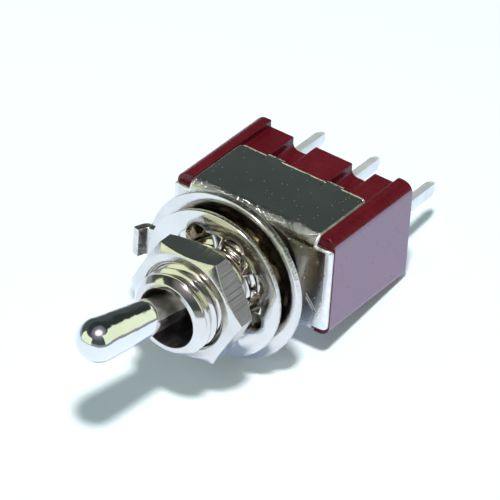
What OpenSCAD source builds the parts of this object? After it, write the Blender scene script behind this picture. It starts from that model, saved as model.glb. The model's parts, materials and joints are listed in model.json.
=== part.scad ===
// Miniature toggle switch for panel mounting, with straight terminal pins.
// Each piece is drawn with the bushing along Z and the plate's face at zero, then laid over so that
// the lever points to -Y and swings along X.

/* [Case] */
// length of the case, along the lever's swing
body_l = 13.2; // [12.6:0.1:15]
// width over the raised end walls
body_w = 7.9; // [7.6:0.1:9]
// depth from the front plate's face to the back of the case
body_d = 9.7; // [9.4:0.1:12]
// thickness of the raised part of each end wall
end_wall = 1.25; // [0.9:0.05:1.4]
// height of the end walls above the long sides
end_step = 0.55; // [0.5:0.01:0.7]
// rounding of the end walls' long outer edges
end_round = 0.8; // [0.4:0.05:1]
// width of each groove in the long sides
groove_w = 1.85; // [1.5:0.05:2]
// distance of the grooves from the middle of the case
groove_x = 2.48; // [2.3:0.02:2.7]
// depth of the grooves
groove_depth = 0.95; // [0.7:0.05:1.05]
// fillet along the bottom of the grooves
groove_fillet = 0.5; // [0.2:0.05:0.6]
// width of the hollow that holds the contacts
hollow_w = 3.5; // [3.3:0.05:3.7]
// thickness of the case's floor
floor_t = 2.1; // [1.8:0.05:2.4]

/* [Frame] */
// thickness of the frame's sheet
sheet_t = 0.5; // [0.4:0.05:0.6]
// radius inside the frame's bends
bend_r = 0.4; // [0.2:0.05:0.5]
// width of the front plate's two ears
ear_w = 6.5; // [6.3:0.05:6.8]
// rounding of the ears' corners
ear_corner = 0.3; // [0.1:0.05:0.6]
// distance from the plate's face to the flaps' back edge
flap_d = 6.1; // [5.4:0.1:7]
// rounding of the flaps' back corners
flap_corner = 0.5; // [0.2:0.05:0.8]
// length that each tongue's bend takes up inside the flap
crimp_l = 0.8; // [0.5:0.05:1]
// length of each tongue past the flap's back edge
crimp_out = 0.3; // [0.1:0.05:0.5]
// depth that each tongue is pressed into its groove
crimp_in = 0.16; // [0.1:0.02:0.5]
// room on each side of a tongue in its groove
crimp_room = 0.25; // [0.1:0.05:0.3]

/* [Bushing] */
// outside diameter of the thread
thread_d = 6; // [5.9:0.05:6.35]
// length of the bushing in front of the plate
bushing_l = 9.3; // [8.8:0.1:10]
// depth of the lever's pivot below the mouth
pivot_depth = 3.9; // [3.7:0.05:4.1]
// width of the flat rim round the mouth
rim_w = 0.38; // [0.2:0.02:0.4]
// length of the lead chamfer behind the rim
rim_l = 0.45; // [0.3:0.05:0.7]
// length of the straight throat round the ball
throat_l = 1.5; // [1.2:0.1:2]
// wall of the tenon that passes through the plate
tenon_wall = 0.3; // [0.2:0.02:0.35]
// lip that the tenon is swaged out to
swage_lip = 0.3; // [0.2:0.02:0.35]
// thickness of the swaged lip
swage_t = 0.3; // [0.2:0.05:0.4]

/* [Lever] */
// angle between the lever's two stops
lever_throw = 25; // [20:1:27]
// distance from the pivot to the lever's tip
lever_l = 10.5; // [9:0.1:14]
// diameter of the lever at its round tip
tip_d = 3.1; // [2.6:0.05:3.4]
// diameter that the taper runs down to at the pivot
neck_d = 1.9; // [1.7:0.05:2]
// diameter of the pivot ball
ball_d = 3.9; // [3.7:0.02:4]
// diameter of the tail
tail_d = 1.8; // [1.7:0.02:1.9]
// distance that the tail reaches behind the plate
tail_end = 3.2; // [2.8:0.05:3.4]
// diameter of the bore in the tail
tail_bore_d = 1.24; // [1.1:0.02:1.3]
// depth of the bore in the tail
tail_bore_l = 5.2; // [4.6:0.05:5.6]
// diameter of the cross pin
pivot_pin_d = 0.9; // [0.7:0.02:1]
// length of the cross pin
pivot_pin_l = 4.9; // [4.6:0.05:5]

/* [Plunger and spring] */
// length of the plunger inside the tail
plunger_in = 1.9; // [1.5:0.05:2.2]
// room between the plunger's tip and the contact rocker's crown
plunger_room = 0.25; // [0.2:0.01:0.35]
// thickness of the spring's wire
spring_wire = 0.16; // [0.1:0.01:0.2]
// turns of the spring
spring_turns = 7; // [5:1:9]

/* [Contacts] */
// angle of the contact rocker on each side of level
rocker_swing = 7; // [5:0.5:8]
// thickness of the contact rocker
rocker_t = 0.5; // [0.4:0.02:0.6]
// thickness left above the rocker's notch
crown_t = 0.3; // [0.25:0.01:0.4]
// diameter of the fulcrum bar
fulcrum_d = 0.8; // [0.6:0.02:0.9]
// height of the fulcrum bar's axis above the floor
fulcrum_h = 0.6; // [0.55:0.01:0.75]
// length of the rocker past each contact's middle
rocker_past = 0.35; // [0.2:0.05:0.5]
// distance of the contacts from the middle
contact_x = 3.75; // [3.5:0.05:3.9]
// diameter of the contact rivets' heads
contact_d = 1.2; // [1:0.05:1.3]
// diameter of the contact rivets' shanks
shank_d = 0.7; // [0.5:0.05:0.8]

/* [Terminals] */
// distance between neighbouring pins
pin_pitch = 4.7; // [4.6:0.05:4.9]
// thickness of a pin, along the row
pin_t = 0.6; // [0.5:0.02:0.7]
// width of a pin, across the row
pin_w = 0.95; // [0.8:0.05:1.1]
// length of the pins behind the case
pin_l = 5.7; // [4:0.1:7]
// length of the pins' tapered tip
pin_taper = 0.6; // [0.3:0.05:1]
// thickness left at the end of the taper
pin_end = 0.3; // [0.2:0.02:0.45]
// thickness of the terminals' heads
head_t = 0.35; // [0.3:0.01:0.4]
// thickness of the common terminal's two cheeks
cheek_t = 0.3; // [0.25:0.01:0.35]
// half length of the common terminal's head
common_half = 1.2; // [1:0.05:1.4]
// height of the cheeks above the fulcrum bar's axis
cheek_h = 0.9; // [0.7:0.05:1.2]

/* [Nuts and washers] */
// width of the nuts across their flats
nut_af = 8; // [7.8:0.05:8.5]
// thickness of each nut
nut_t = 2.05; // [1.8:0.05:2.3]
// diameter of the nuts' bearing faces
nut_face_d = 7.7; // [7.2:0.05:7.8]
// width of the countersink round each nut's thread
nut_sink = 0.3; // [0.1:0.05:0.4]
// gap between the plate and the rear nut
nut_set = 0.3; // [0.05:0.05:0.4]
// gap between the locating washer and the lock washer's teeth
lock_set = 0.36; // [0.05:0.01:0.5]
// gap between the lock washer's teeth and the front nut
front_set = 0.9; // [0.05:0.05:1.2]
// turn of the front nut
front_turn = 2; // [0:1:59]
// turn of the rear nut
rear_turn = 20; // [0:1:59]
// diameter of the locating washer
locating_d = 12.5; // [11.5:0.1:13]
// thickness of the locating washer
locating_t = 0.6; // [0.5:0.05:0.9]
// width of the locating tab
tab_w = 2.2; // [1.8:0.1:2.6]
// radius inside the tab's bend
tab_bend_r = 0.2; // [0.1:0.05:0.7]
// angle of the tab's bend
tab_angle = 72; // [45:1:90]
// straight length at the end of the tab
tab_tip = 0.6; // [0.1:0.05:1]
// width of the relief cut on each side of the tab
relief_w = 0.4; // [0.2:0.05:0.5]
// depth of the relief cuts
relief_l = 0.6; // [0.3:0.05:0.8]
// outside diameter of the toothed lock washer
lock_d = 11; // [10.4:0.1:11.6]
// thickness of the lock washer
lock_t = 0.4; // [0.36:0.02:0.6]
// inside diameter of the lock washer's ring
lock_ring_d = 7.8; // [7.6:0.1:8.4]
// number of teeth
tooth_count = 8; // [6:1:10]
// width of a tooth
tooth_w = 1.3; // [1:0.05:1.4]
// twist of the teeth where they leave the ring
root_twist = 6; // [4:1:12]
// twist of the teeth at their tips
tip_twist = 45; // [30:1:50]
// diameter of the round scallops between the teeth
scallop_d = 1.7; // [1.4:0.05:1.9]
// distance of the scallops' middles inside the ring's inner edge
scallop_in = 0.3; // [0.1:0.05:0.5]

/* [Clearances] */
// gap between pieces that are fixed together
fit_gap = 0.02; // [0.01:0.005:0.04]
// radial gap of pieces that turn or slide
run_gap = 0.05; // [0.03:0.005:0.07]
// room between the lever and the bushing at the stops
stop_gap = 0.1; // [0.06:0.01:0.12]
// radial gap of the washers on the thread
washer_gap = 0.1; // [0.05:0.01:0.2]

/* [Hidden] */
$fn = 64;
over = 1;
overlap = 0.1;
sliver = 0.01;
half_throw = lever_throw / 2;

half_l = body_l / 2;
end_half = body_w / 2;
side_half = end_half - end_step;
wall_x = half_l - end_wall;
back_z = -body_d;
floor_z = back_z + floor_t;
front_z = -sheet_t - fit_gap;
hollow_half = pin_pitch + pin_t / 2 + run_gap;

flap_in = side_half + fit_gap;
flap_out = flap_in + sheet_t;
flap_half = wall_x - fit_gap;
crimp_w = groove_w - 2 * crimp_room;

thread_r = thread_d / 2;
pivot_z = bushing_l - pivot_depth;
ball_r = ball_d / 2;
throat_r = ball_r + run_gap;
swage_z = front_z - swage_t;
dome_s = lever_l - tip_d / 2;
mouth_s = pivot_depth / cos(half_throw);
lever_mouth_r = neck_d / 2 + (tip_d - neck_d) / 2 * mouth_s / dome_s;
mouth_r = pivot_depth * tan(half_throw) + lever_mouth_r / cos(half_throw) + stop_gap;
rim_r = mouth_r + rim_w;
root_r = (pivot_z - swage_z) * tan(half_throw) + tail_d / 2 / cos(half_throw) + stop_gap;
tenon_r = root_r + tenon_wall;
swage_r = tenon_r + swage_lip;
slot_w = pivot_pin_d + 2 * run_gap;
slot_l = pivot_pin_l + 2 * run_gap;

tail_l = pivot_z + tail_end;
plunger_r = tail_bore_d / 2 - run_gap;
bar_z = floor_z + fulcrum_h;
crown_h = fulcrum_d / 2 + run_gap + crown_t;
arm_angle = rocker_swing + lever_throw / 4;
rocker_half = contact_x + rocker_past;
reach = pivot_z - bar_z - crown_h - plunger_room;
spring_r = plunger_r - spring_wire;
spring_l = tail_bore_l - plunger_in - 2 * fit_gap;

cheek_y = hollow_w / 2 - fit_gap;
rocker_w = 2 * (cheek_y - cheek_t - run_gap);
web_t = fulcrum_d / 2;
arm_h = (crown_h - rocker_t / cos(arm_angle)) * cos(arm_angle) / cos(lever_throw / 4);
contact_z = bar_z + arm_h + (contact_x - contact_d / 2) * tan(lever_throw / 4) - fit_gap;
head_z = floor_z + fit_gap + head_t;
pin_z = back_z - pin_l;

corner_r = nut_af / 2 / cos(30);
rear_nut_z = nut_set;
locating_z = rear_nut_z + nut_t + fit_gap;
locating_r = locating_d / 2;
tooth_half = (tooth_w * sin(tip_twist) + lock_t * cos(tip_twist)) / 2;
lock_mid = locating_z + locating_t + lock_set + tooth_half;
front_nut_z = lock_mid + tooth_half + front_set;
tooth_in = thread_r + washer_gap;
lock_ring_r = lock_ring_d / 2;
tooth_root = lock_t / 2;
twist_slices = 6;
tooth_sides = 4;

// lays a piece over: the bushing's axis turns from +Z to -Y
module lay() {
    rotate([90, 0, 0]) children();
}

// places what belongs to the lever, with its pivot at the origin and its tip along +Z
module swing() {
    translate([0, 0, pivot_z]) rotate([0, -half_throw, 0]) children();
}

// extrudes a YZ profile along X
module along_x(length) {
    rotate([90, 0, 90]) linear_extrude(length, center = true) children();
}

module rounded_rect(l, w, r) {
    square([l - 2 * r, w], center = true);
    square([l, w - 2 * r], center = true);
    for (x = [-1, 1], y = [-1, 1]) translate([x * (l / 2 - r), y * (w / 2 - r)]) circle(r);
}

// groove outline, its mouth on the X axis and its bottom below
module groove_profile() {
    r = min(groove_fillet, groove_w / 2 - sliver);
    translate([-groove_w / 2, r - groove_depth]) square([groove_w, groove_depth - r + over]);
    translate([r - groove_w / 2, -groove_depth]) square([groove_w - 2 * r, groove_depth]);
    for (x = [-1, 1]) translate([x * (groove_w / 2 - r), r - groove_depth]) circle(r);
}

module case_profile() {
    difference() {
        rounded_rect(body_l, body_w, end_round);
        for (s = [0, 1]) mirror([0, s]) {
            translate([-wall_x, side_half]) square([2 * wall_x, end_step + over]);
            for (x = [-1, 1]) translate([x * groove_x, side_half]) groove_profile();
        }
    }
}

module case_shell() {
    relief = bend_r + fit_gap;
    color("maroon") lay() difference() {
        translate([0, 0, back_z]) linear_extrude(front_z - back_z) case_profile();
        translate([-hollow_half, -hollow_w / 2, floor_z])
            cube([2 * hollow_half, hollow_w, front_z - floor_z + over]);
        translate([0, 0, swage_z - run_gap]) cylinder(r = swage_r + run_gap, h = swage_t + over);
        for (x = [-1, 0, 1]) translate([x * pin_pitch, 0, back_z - over])
            linear_extrude(floor_t + 2 * over)
                square([pin_t + 2 * fit_gap, pin_w + 2 * fit_gap], center = true);
        for (s = [0, 1]) mirror([0, s, 0]) along_x(2 * wall_x)
            polygon([[side_half - relief, front_z], [side_half, front_z - relief],
                     [side_half + over, front_z - relief], [side_half + over, front_z + over],
                     [side_half - relief, front_z + over]]);
    }
}

// inside or outside of the folded sheet, open to the back
module fold_profile(half, top, r, bottom) {
    translate([-half, bottom]) square([2 * half, top - r - bottom]);
    translate([r - half, bottom]) square([2 * (half - r), top - bottom]);
    for (s = [-1, 1]) translate([s * (half - r), top - r]) circle(r);
}

// cuts that round the flaps' back corners
module flap_corners() {
    rotate([90, 0, 0]) linear_extrude(2 * body_w, center = true)
        for (s = [0, 1]) mirror([s, 0]) translate([flap_half - flap_corner, flap_corner - flap_d])
            difference() {
                translate([0, -flap_corner - over]) square(flap_corner + over);
                circle(flap_corner);
            }
}

// one tongue, bent in from the flap's back edge
module crimp() {
    root = crimp_l - flap_d;
    tip = -flap_d - crimp_out;
    along_x(crimp_w)
        polygon([[flap_in, root + overlap], [flap_out, root + overlap], [flap_out, root],
                 [flap_out - crimp_in, tip], [flap_in - crimp_in, tip], [flap_in, root]]);
}

module frame_sheet() {
    color("silver") lay() difference() {
        union() {
            translate([0, 0, -sheet_t]) linear_extrude(sheet_t) rounded_rect(body_l, ear_w, ear_corner);
            difference() {
                along_x(2 * flap_half) difference() {
                    fold_profile(flap_out, 0, bend_r + sheet_t, -flap_d);
                    fold_profile(flap_in, -sheet_t, bend_r, -flap_d - over);
                }
                flap_corners();
                for (x = [-1, 1], s = [0, 1]) mirror([0, s, 0])
                    translate([x * groove_x - crimp_w / 2, flap_in - over, -flap_d - over])
                        cube([crimp_w, sheet_t + 2 * over, crimp_l + over]);
            }
            for (x = [-1, 1], s = [0, 1]) mirror([0, s, 0]) translate([x * groove_x, 0, 0]) crimp();
        }
        translate([0, 0, -sheet_t - over]) cylinder(r = tenon_r + fit_gap, h = sheet_t + 2 * over);
    }
}

module bushing_body() {
    color("gainsboro") lay() difference() {
        rotate_extrude()
            polygon([[mouth_r, bushing_l], [rim_r, bushing_l], [thread_r, bushing_l - rim_l],
                     [thread_r, 0], [tenon_r, 0], [tenon_r, front_z], [swage_r, front_z],
                     [swage_r, swage_z], [root_r, swage_z], [throat_r, pivot_z - throat_l / 2],
                     [throat_r, pivot_z + throat_l / 2]]);
        for (s = [-1, 1]) translate([0, s * slot_l / 4, 0]) {
            translate([0, 0, pivot_z]) rotate([90, 0, 0])
                cylinder(d = slot_w, h = slot_l / 2, center = true);
            translate([-slot_w / 2, -slot_l / 4, swage_z - over])
                cube([slot_w, slot_l / 2, pivot_z - swage_z + over]);
        }
    }
}

module hex_nut(z, turn) {
    run = corner_r - nut_face_d / 2 + overlap;
    rise = run * tan(30);
    color("lightgray") lay() translate([0, 0, z]) difference() {
        intersection() {
            rotate(turn) cylinder(r = corner_r, h = nut_t, $fn = 6);
            rotate_extrude()
                polygon([[0, 0], [nut_face_d / 2, 0], [nut_face_d / 2 + run, rise],
                         [nut_face_d / 2 + run, nut_t - rise], [nut_face_d / 2, nut_t], [0, nut_t]]);
        }
        translate([0, 0, -over]) cylinder(r = thread_r + fit_gap, h = nut_t + 2 * over);
        for (s = [0, 1]) translate([0, 0, s * nut_t]) mirror([0, 0, s]) translate([0, 0, -fit_gap])
            cylinder(r1 = thread_r + nut_sink + fit_gap, r2 = thread_r, h = nut_sink + fit_gap);
    }
}

// the tab's bend and tip, bent forward from the washer's edge
module locating_tab() {
    translate([-locating_r, 0, locating_t + tab_bend_r]) rotate([-90, 90, 0]) {
        rotate_extrude(angle = tab_angle) translate([tab_bend_r, -tab_w / 2]) square([locating_t, tab_w]);
        rotate(tab_angle) translate([tab_bend_r, 0, -tab_w / 2]) cube([locating_t, tab_tip, tab_w]);
    }
}

module locating_washer() {
    color("silver") lay() translate([0, 0, locating_z]) {
        linear_extrude(locating_t) difference() {
            union() {
                circle(locating_r);
                translate([-locating_r, -tab_w / 2]) square([relief_l, tab_w]);
            }
            circle(thread_r + washer_gap);
            for (s = [0, 1]) mirror([0, s]) translate([-locating_r - over, tab_w / 2])
                square([relief_l + over, relief_w]);
        }
        locating_tab();
    }
}

module lock_washer() {
    step = 360 / tooth_count;
    root_r = lock_ring_r + tooth_root;
    color("gainsboro") lay() translate([0, 0, lock_mid]) {
        translate([0, 0, -lock_t / 2]) linear_extrude(lock_t) difference() {
            circle(lock_d / 2);
            circle(lock_ring_r);
            for (i = [0 : tooth_count - 1]) rotate((i + 0.5) * step)
                translate([lock_ring_r - scallop_in, 0]) circle(d = scallop_d);
        }
        for (i = [0 : tooth_count - 1]) rotate(i * step) translate([root_r, 0, 0]) rotate([0, -90, 0])
            linear_extrude(root_r - tooth_in, twist = root_twist - tip_twist, slices = twist_slices,
                           segments = tooth_sides)
                rotate(root_twist) square([lock_t, tooth_w], center = true);
    }
}

module toggle_lever() {
    color("whitesmoke") lay() swing() difference() {
        union() {
            sphere(ball_r);
            cylinder(r1 = neck_d / 2, r2 = tip_d / 2, h = dome_s);
            translate([0, 0, dome_s]) sphere(tip_d / 2);
            translate([0, 0, -tail_l]) cylinder(d = tail_d, h = tail_l);
        }
        translate([0, 0, -tail_l - over]) cylinder(d = tail_bore_d, h = tail_bore_l + over);
        rotate([90, 0, 0]) cylinder(d = pivot_pin_d + 2 * fit_gap, h = ball_d, center = true);
    }
}

module pivot_pin() {
    color("dimgray") lay() swing() rotate([90, 0, 0])
        cylinder(d = pivot_pin_d, h = pivot_pin_l, center = true);
}

module lever_spring() {
    outer = spring_r + spring_wire;
    color("slategray") lay() swing() translate([0, 0, plunger_in + fit_gap - tail_l])
        linear_extrude(spring_l, twist = -360 * spring_turns, slices = 10 * spring_turns, $fn = 12)
            difference() {
                circle(outer);
                circle(spring_r);
                translate([-outer, -2 * outer]) square(2 * outer);
            }
}

module plunger() {
    color("ivory") lay() swing() translate([0, 0, plunger_r - reach]) {
        sphere(plunger_r);
        cylinder(r = plunger_r, h = reach - plunger_r - tail_l + plunger_in);
    }
}

module contact_rocker() {
    drop = rocker_t / cos(arm_angle);
    rise = rocker_half * tan(arm_angle);
    color("goldenrod") lay() translate([0, 0, bar_z]) rotate([0, rocker_swing, 0]) difference() {
        rotate([90, 0, 0]) linear_extrude(rocker_w, center = true)
            polygon([[0, crown_h], [rocker_half, crown_h + rise], [rocker_half, crown_h + rise - drop],
                     [0, crown_h - drop], [-rocker_half, crown_h + rise - drop],
                     [-rocker_half, crown_h + rise]]);
        rotate([90, 0, 0]) cylinder(d = fulcrum_d + 2 * run_gap, h = rocker_w + over, center = true);
    }
}

// one blade pin, from inside the floor to its tapered tip
module blade() {
    top = head_z - head_t / 2;
    taper = [[-1, pin_z], [-1, pin_z + pin_taper], [-1, top], [1, top], [1, pin_z + pin_taper], [1, pin_z]];
    intersection() {
        rotate([90, 0, 0]) linear_extrude(pin_w, center = true)
            polygon([for (p = taper) [p[0] * (p[1] == pin_z ? pin_end : pin_t) / 2, p[1]]]);
        along_x(pin_t)
            polygon([for (p = taper) [p[0] * (p[1] == pin_z ? pin_w - pin_t + pin_end : pin_w) / 2, p[1]]]);
    }
}

module common_terminal() {
    color("khaki") lay() {
        blade();
        translate([-common_half, -cheek_y, head_z - head_t]) cube([2 * common_half, 2 * cheek_y, head_t]);
        rotate([90, 0, 0]) translate([0, bar_z]) cylinder(d = fulcrum_d, h = 2 * cheek_y, center = true);
        translate([-web_t / 2, -cheek_y, head_z - head_t])
            cube([web_t, 2 * cheek_y, fulcrum_h - fit_gap]);
        for (s = [0, 1]) mirror([0, s, 0])
            translate([-common_half, cheek_y - cheek_t, head_z - head_t])
                cube([2 * common_half, cheek_t, fulcrum_h + cheek_h]);
    }
}

// an outer terminal, drawn for the +X side
module outer_terminal() {
    inner = contact_x - contact_d / 2;
    difference() {
        union() {
            translate([pin_pitch, 0, 0]) blade();
            translate([inner, -cheek_y, head_z - head_t])
                cube([pin_pitch + pin_t / 2 - inner, 2 * cheek_y, head_t]);
        }
        translate([contact_x, 0, head_z - head_t - overlap])
            cylinder(d = shank_d + 2 * fit_gap, h = head_t + 2 * overlap);
    }
}

module left_terminal() {
    color("khaki") lay() mirror([1, 0, 0]) outer_terminal();
}

module right_terminal() {
    color("khaki") lay() outer_terminal();
}

// a contact rivet, drawn for the +X side
module contact_rivet() {
    translate([contact_x, 0, head_z - head_t]) cylinder(d = shank_d, h = head_t);
    translate([contact_x, 0, head_z]) cylinder(d = contact_d, h = contact_z - head_z);
}

module left_contact() {
    color("white") lay() mirror([1, 0, 0]) contact_rivet();
}

module right_contact() {
    color("white") lay() contact_rivet();
}

case_shell();  // case
frame_sheet();  // frame
bushing_body();  // bushing
hex_nut(rear_nut_z, rear_turn);  // rear_nut
locating_washer();
lock_washer();
hex_nut(front_nut_z, front_turn);  // front_nut
toggle_lever();
pivot_pin();
lever_spring();
plunger();
contact_rocker();
common_terminal();
left_terminal();
right_terminal();
left_contact();
right_contact();
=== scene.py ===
import json
import math

import bmesh
import bpy
from mathutils import Matrix, Vector

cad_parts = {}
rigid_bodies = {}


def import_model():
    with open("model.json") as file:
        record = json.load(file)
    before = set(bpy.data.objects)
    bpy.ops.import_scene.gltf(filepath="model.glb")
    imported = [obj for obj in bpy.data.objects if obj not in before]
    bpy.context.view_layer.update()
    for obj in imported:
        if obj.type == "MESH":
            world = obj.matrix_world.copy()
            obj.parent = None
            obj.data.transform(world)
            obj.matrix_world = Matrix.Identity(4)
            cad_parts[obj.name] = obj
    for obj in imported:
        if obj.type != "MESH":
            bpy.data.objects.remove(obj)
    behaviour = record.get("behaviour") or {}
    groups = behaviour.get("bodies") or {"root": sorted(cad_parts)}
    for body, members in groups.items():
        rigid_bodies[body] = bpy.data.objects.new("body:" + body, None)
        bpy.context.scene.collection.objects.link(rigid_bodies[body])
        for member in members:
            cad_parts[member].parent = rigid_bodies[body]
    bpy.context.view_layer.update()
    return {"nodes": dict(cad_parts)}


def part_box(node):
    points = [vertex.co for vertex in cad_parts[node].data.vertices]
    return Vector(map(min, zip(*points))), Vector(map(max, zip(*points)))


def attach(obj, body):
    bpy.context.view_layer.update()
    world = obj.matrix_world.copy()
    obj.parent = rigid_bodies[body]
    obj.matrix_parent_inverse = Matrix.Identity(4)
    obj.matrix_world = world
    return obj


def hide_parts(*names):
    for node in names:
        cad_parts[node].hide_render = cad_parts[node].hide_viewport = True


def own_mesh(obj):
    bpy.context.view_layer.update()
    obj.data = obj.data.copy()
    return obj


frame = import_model()
mm = 0.001
near = 0.01  # what counts as the same place, in millimetres
facing = 0.9  # how much of a normal lies along an axis that it faces
toolDepth = 4  # longer than any wall that a tool goes through
noiseSpan = (0.3, 0.7)  # where most values of a noise texture lie
common = {"mergeGap": 0.0005, "flatAngle": 0.5, "sharpAngle": 35, "smoothAngle": 32, "latheSteps": 128}
print("stage: frame loaded")


def deselectAll():
    if bpy.context.mode != "OBJECT":
        bpy.ops.object.mode_set(mode="OBJECT")
    bpy.ops.object.select_all(action="DESELECT")


def pickOnly(piece):
    deselectAll()
    piece.select_set(True)
    bpy.context.view_layer.objects.active = piece


def addPrimitive(kind, name, **settings):
    deselectAll()
    getattr(bpy.ops.mesh, f"primitive_{kind}_add")(**settings)
    bpy.context.object.name = name
    return bpy.context.object


def copyOf(piece):
    pickOnly(piece)
    bpy.ops.object.duplicate()
    return bpy.context.object


def applyPlace(piece):
    pickOnly(piece)
    bpy.ops.object.transform_apply(location=True, rotation=True, scale=True)


def modify(piece, kind, **settings):
    pickOnly(piece)
    step = piece.modifiers.new(kind.title(), kind)
    for key, value in settings.items():
        setattr(step, key, value)
    bpy.ops.object.modifier_apply(modifier=step.name)


def cut(piece, tool, operation="DIFFERENCE"):
    modify(piece, "BOOLEAN", object=tool, operation=operation, solver="EXACT")
    bpy.data.objects.remove(tool)


def editAll(piece):
    pickOnly(piece)
    bpy.ops.object.mode_set(mode="EDIT")
    bpy.ops.mesh.select_all(action="SELECT")


def mend(piece):  # merges doubles and turns the faces outwards
    editAll(piece)
    bpy.ops.mesh.remove_doubles(threshold=common["mergeGap"])
    bpy.ops.mesh.normals_make_consistent(inside=False)
    bpy.ops.object.mode_set(mode="OBJECT")


def sliceAt(piece, place, direction, **settings):
    editAll(piece)
    bpy.ops.mesh.bisect(plane_co=place, plane_no=direction, **settings)
    bpy.ops.object.mode_set(mode="OBJECT")


def selectIn(piece, kind, test):  # opens edit mode with the VERT, EDGE or FACE parts that pass the test
    pickOnly(piece)
    bpy.ops.object.mode_set(mode="EDIT")
    bpy.ops.mesh.select_mode(type=kind)
    bpy.ops.mesh.select_all(action="DESELECT")
    mesh = bmesh.from_edit_mesh(piece.data)
    for part in {"VERT": mesh.verts, "EDGE": mesh.edges, "FACE": mesh.faces}[kind]:
        part.select_set(test(part))
    mesh.select_flush_mode()
    bmesh.update_edit_mesh(piece.data)


def isSharp(edge, angle):
    return edge.is_manifold and edge.calc_face_angle() > math.radians(angle)


def staysAtY(edge):
    return abs(edge.verts[0].co.y - edge.verts[1].co.y) < near


def easeEdges(piece, width, segments=2, angle=common["sharpAngle"]):
    modify(piece, "BEVEL", width=width, segments=segments, limit_method="ANGLE",
           angle_limit=math.radians(angle))


def drawProfile(name, points):  # (radius, height) points, drawn one extrusion after another
    piece = addPrimitive("plane", name, size=1)
    editAll(piece)
    bpy.ops.mesh.merge(type="CENTER")
    spots = [Vector((r, 0, z)) for r, z in points]
    bpy.ops.transform.translate(value=spots[0])
    for here, there in zip(spots, spots[1:]):
        bpy.ops.mesh.extrude_vertices_move(TRANSFORM_OT_translate={"value": there - here})
    bpy.ops.object.mode_set(mode="OBJECT")
    return piece


def turnOnLathe(name, points, steps=common["latheSteps"]):
    piece = drawProfile(name, points)
    editAll(piece)
    bpy.ops.mesh.spin(steps=steps, angle=2 * math.pi, center=(0, 0, 0), axis=(0, 0, 1))
    mend(piece)
    return piece


def roundPoints(r, z, radius, start, end, count):  # an arc on a lathe profile
    angles = [math.radians(start + (end - start) * i / count) for i in range(count + 1)]
    return [(max(0, r + radius * math.cos(a)), z + radius * math.sin(a)) for a in angles]


def pressedRing(name, outer, inner, thick, edge, shear, arcSteps=4, steps=200):
    points = roundPoints(outer - edge, thick - edge, edge, 0, 90, arcSteps)
    points += roundPoints(inner + edge, thick - edge, edge, 90, 180, arcSteps)
    points += roundPoints(inner + edge, edge, edge, 180, 270, arcSteps)
    points += roundPoints(outer - shear - edge, edge, edge, 270, 360, arcSteps)
    points += [(outer - shear, thick / 2), (outer, thick / 2 + shear), points[0]]  # the rim breaks off behind
    return turnOnLathe(name, points, steps)


def joinAll(name, pieces):
    pickOnly(pieces[0])
    for piece in pieces[1:]:
        piece.select_set(True)
    bpy.ops.object.join()
    bpy.context.object.name = name
    return bpy.context.object


def shadeFaces(piece, angle):
    pickOnly(piece)
    bpy.ops.object.shade_smooth_by_angle(angle=math.radians(angle))
    modify(piece, "WEIGHTED_NORMAL", keep_sharp=True)


def layOver(piece, smoothAngle=common["smoothAngle"]):  # pieces are made upright in millimetres
    applyPlace(piece)
    piece.rotation_euler = (math.pi / 2, 0, 0)
    piece.scale = (mm, mm, mm)
    applyPlace(piece)
    shadeFaces(piece, smoothAngle)


def easedCopy(nodeName, name, width, segments, hidden):  # a CAD node whose outer edges are eased
    piece = copyOf(frame["nodes"][nodeName])
    piece.name = name
    for key in list(piece.keys()):  # the node's own marks don't belong on the copy
        del piece[key]
    bpy.ops.object.parent_clear(type="CLEAR")
    bpy.ops.mesh.customdata_custom_splitnormals_clear()
    piece.scale = (1 / mm, 1 / mm, 1 / mm)
    applyPlace(piece)
    editAll(piece)
    bpy.ops.mesh.remove_doubles(threshold=common["mergeGap"])
    bpy.ops.mesh.dissolve_limited(angle_limit=math.radians(common["flatAngle"]))
    selectIn(piece, "EDGE", lambda edge: isSharp(edge, common["sharpAngle"])
             and not all(hidden(vert.co) for vert in edge.verts))
    bpy.ops.mesh.bevel(offset=width, segments=segments, affect="EDGES")
    bpy.ops.mesh.select_mode(type="VERT")
    bpy.ops.object.mode_set(mode="OBJECT")
    piece.scale = (mm, mm, mm)
    applyPlace(piece)
    shadeFaces(piece, common["smoothAngle"])
    return piece


def dress(piece, finish, body, nodeName):
    piece.data.materials.clear()
    piece.data.materials.append(finish)
    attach(piece, body)
    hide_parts(nodeName)


def addFinish(piece, finish, test):  # another finish on the faces that pass the test
    piece.data.materials.append(finish)
    for face in piece.data.polygons:
        if test(face):
            face.material_index = len(piece.data.materials) - 1


def fromAxis(face):  # distance from the bushing's axis, in millimetres
    return math.hypot(face.center.x, face.center.z) / mm


def span(nodeName):  # back and front of a node along the bushing, in millimetres
    low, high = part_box(nodeName)
    return -high.y / mm, -low.y / mm


def addNode(tree, kind, inputs=None, **settings):
    made = tree.nodes.new("ShaderNode" + kind)
    for key, value in settings.items():
        setattr(made, key, value)
    for socket, value in (inputs or {}).items():
        if isinstance(value, bpy.types.NodeSocket):
            tree.links.new(value, made.inputs[socket])
        else:
            made.inputs[socket].default_value = value
    return made


def startFinish(name, sockets):
    finish = bpy.data.materials.new(name)
    finish.use_nodes = True
    tree = finish.node_tree
    shader = tree.nodes["Principled BSDF"]
    for socket, value in sockets.items():
        shader.inputs[socket].default_value = value
    place = addNode(tree, "TexCoord").outputs["Object"]
    return finish, tree, shader, place


def blotches(tree, place, scale, low, high, detail=3, stretch=(1, 1, 1)):
    spread = addNode(tree, "Mapping", {"Vector": place, "Scale": stretch})
    noise = addNode(tree, "TexNoise", {"Vector": spread.outputs[0], "Scale": scale, "Detail": detail})
    return addNode(tree, "MapRange", {"Value": noise.outputs[0], "From Min": noiseSpan[0],
                                      "From Max": noiseSpan[1], "To Min": low, "To Max": high}).outputs[0]


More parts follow.
